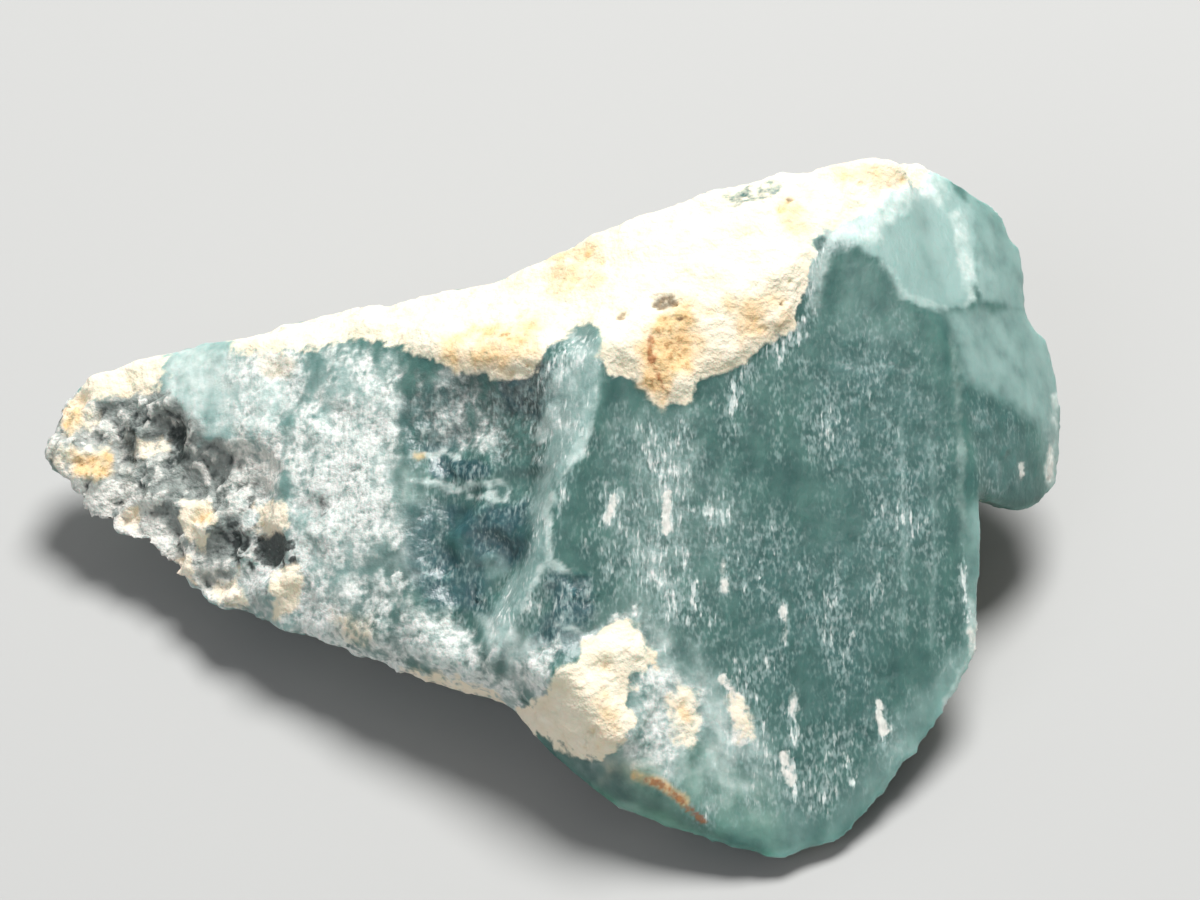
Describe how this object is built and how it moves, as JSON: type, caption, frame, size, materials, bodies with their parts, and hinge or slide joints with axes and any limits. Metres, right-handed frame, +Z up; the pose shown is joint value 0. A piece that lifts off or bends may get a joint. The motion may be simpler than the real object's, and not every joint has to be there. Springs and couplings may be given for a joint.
{
  "type": "rough grandidierite",
  "caption": "Broken piece of teal gem rough: a wedge with one broad cleavage face, a thin lobe, a tapering toe and a pale weathered crust on top.",
  "frame": {"origin": "middle of the small flat spot that the stone rests on, at the table surface", "axes": "+X along the stone from its toe to its lobe, +Y away from the broad cleavage face, +Z up"},
  "size_m": [0.0251, 0.017, 0.0082],
  "materials": {
    "stone": "waxy teal crystal, with a matte cream crust and grey matrix on some faces"
  },
  "bodies": {
    "root": {"grandidierite": "stone"}
  },
  "joints": []
}
